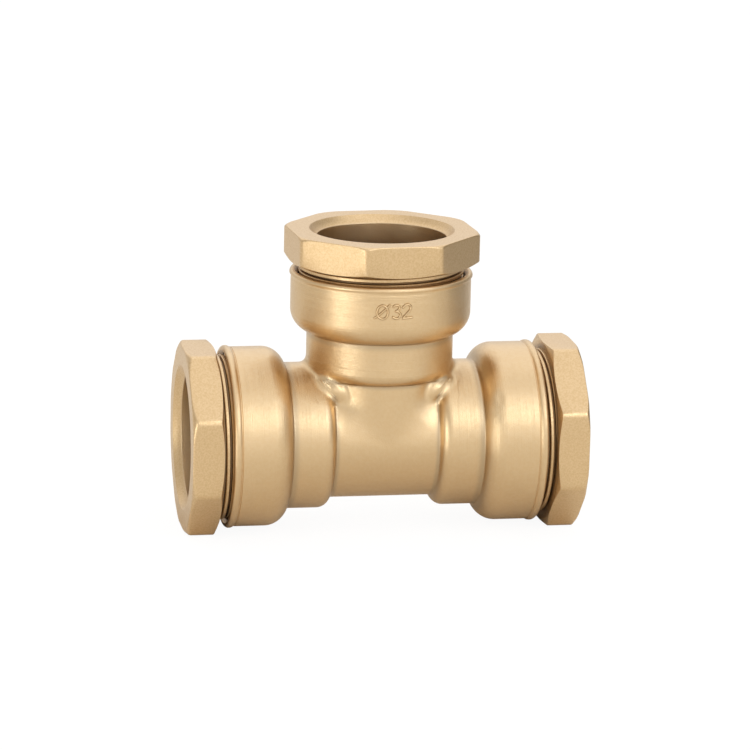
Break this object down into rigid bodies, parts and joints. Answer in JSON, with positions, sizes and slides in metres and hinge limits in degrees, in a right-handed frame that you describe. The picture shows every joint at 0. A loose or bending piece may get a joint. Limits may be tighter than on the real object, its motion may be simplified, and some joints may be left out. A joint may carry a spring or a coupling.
{
  "type": "brass compression tee",
  "caption": "Forged brass tee for plastic pipe, with three octagonal compression nuts over split grip rings, thrust rings and rubber seals.",
  "frame": {"origin": "on the ground under the point where the run and branch axes cross, between the run nuts' lowest flats", "axes": "+X along the run towards the right port, +Z along the branch, -Y towards the side that the picture shows"},
  "size_m": [0.0996, 0.0472, 0.0757],
  "materials": {
    "forged_brass": "blasted and lightly turned forged brass",
    "nut_brass": "blasted forged brass, satin",
    "grip_brass": "turned brass",
    "ring_plastic": "moulded acetal",
    "seal_rubber": "moulded nitrile rubber"
  },
  "bodies": {
    "tee": {"tee_body": "forged_brass", "left_seal_ring": "seal_rubber", "left_thrust_ring": "ring_plastic", "right_seal_ring": "seal_rubber", "right_thrust_ring": "ring_plastic", "branch_seal_ring": "seal_rubber", "branch_thrust_ring": "ring_plastic"},
    "left_grip": {"left_grip_ring": "grip_brass"},
    "left_screw": {"left_nut": "nut_brass"},
    "right_grip": {"right_grip_ring": "grip_brass"},
    "right_screw": {"right_nut": "nut_brass"},
    "branch_grip": {"branch_grip_ring": "grip_brass"},
    "branch_screw": {"branch_nut": "nut_brass"}
  },
  "joints": [
    {"name": "left_nut_travel", "type": "slide", "parent": "tee", "child": "left_grip", "axis": [-1, 0, 0], "range_m": [-0.00076, 0.00451]},
    {"name": "left_nut_turn", "type": "hinge", "parent": "left_grip", "child": "left_screw", "pos_m": [0, 0, 0.023], "axis": [-1, 0, 0], "range_deg": [-180, 1080]},
    {"name": "right_nut_travel", "type": "slide", "parent": "tee", "child": "right_grip", "axis": [1, 0, 0], "range_m": [-0.00076, 0.00451]},
    {"name": "right_nut_turn", "type": "hinge", "parent": "right_grip", "child": "right_screw", "pos_m": [0, 0, 0.023], "axis": [1, 0, 0], "range_deg": [-180, 1080]},
    {"name": "branch_nut_travel", "type": "slide", "parent": "tee", "child": "branch_grip", "axis": [0, 0, 1], "range_m": [-0.00076, 0.00451]},
    {"name": "branch_nut_turn", "type": "hinge", "parent": "branch_grip", "child": "branch_screw", "pos_m": [0, 0, 0.023], "axis": [0, 0, 1], "range_deg": [-180, 1080]}
  ],
  "couplings": [
    {"joint": "left_nut_travel", "follows": "left_nut_turn", "m_per_rad": 0.00023873},
    {"joint": "right_nut_travel", "follows": "right_nut_turn", "m_per_rad": 0.00023873},
    {"joint": "branch_nut_travel", "follows": "branch_nut_turn", "m_per_rad": 0.00023873}
  ]
}
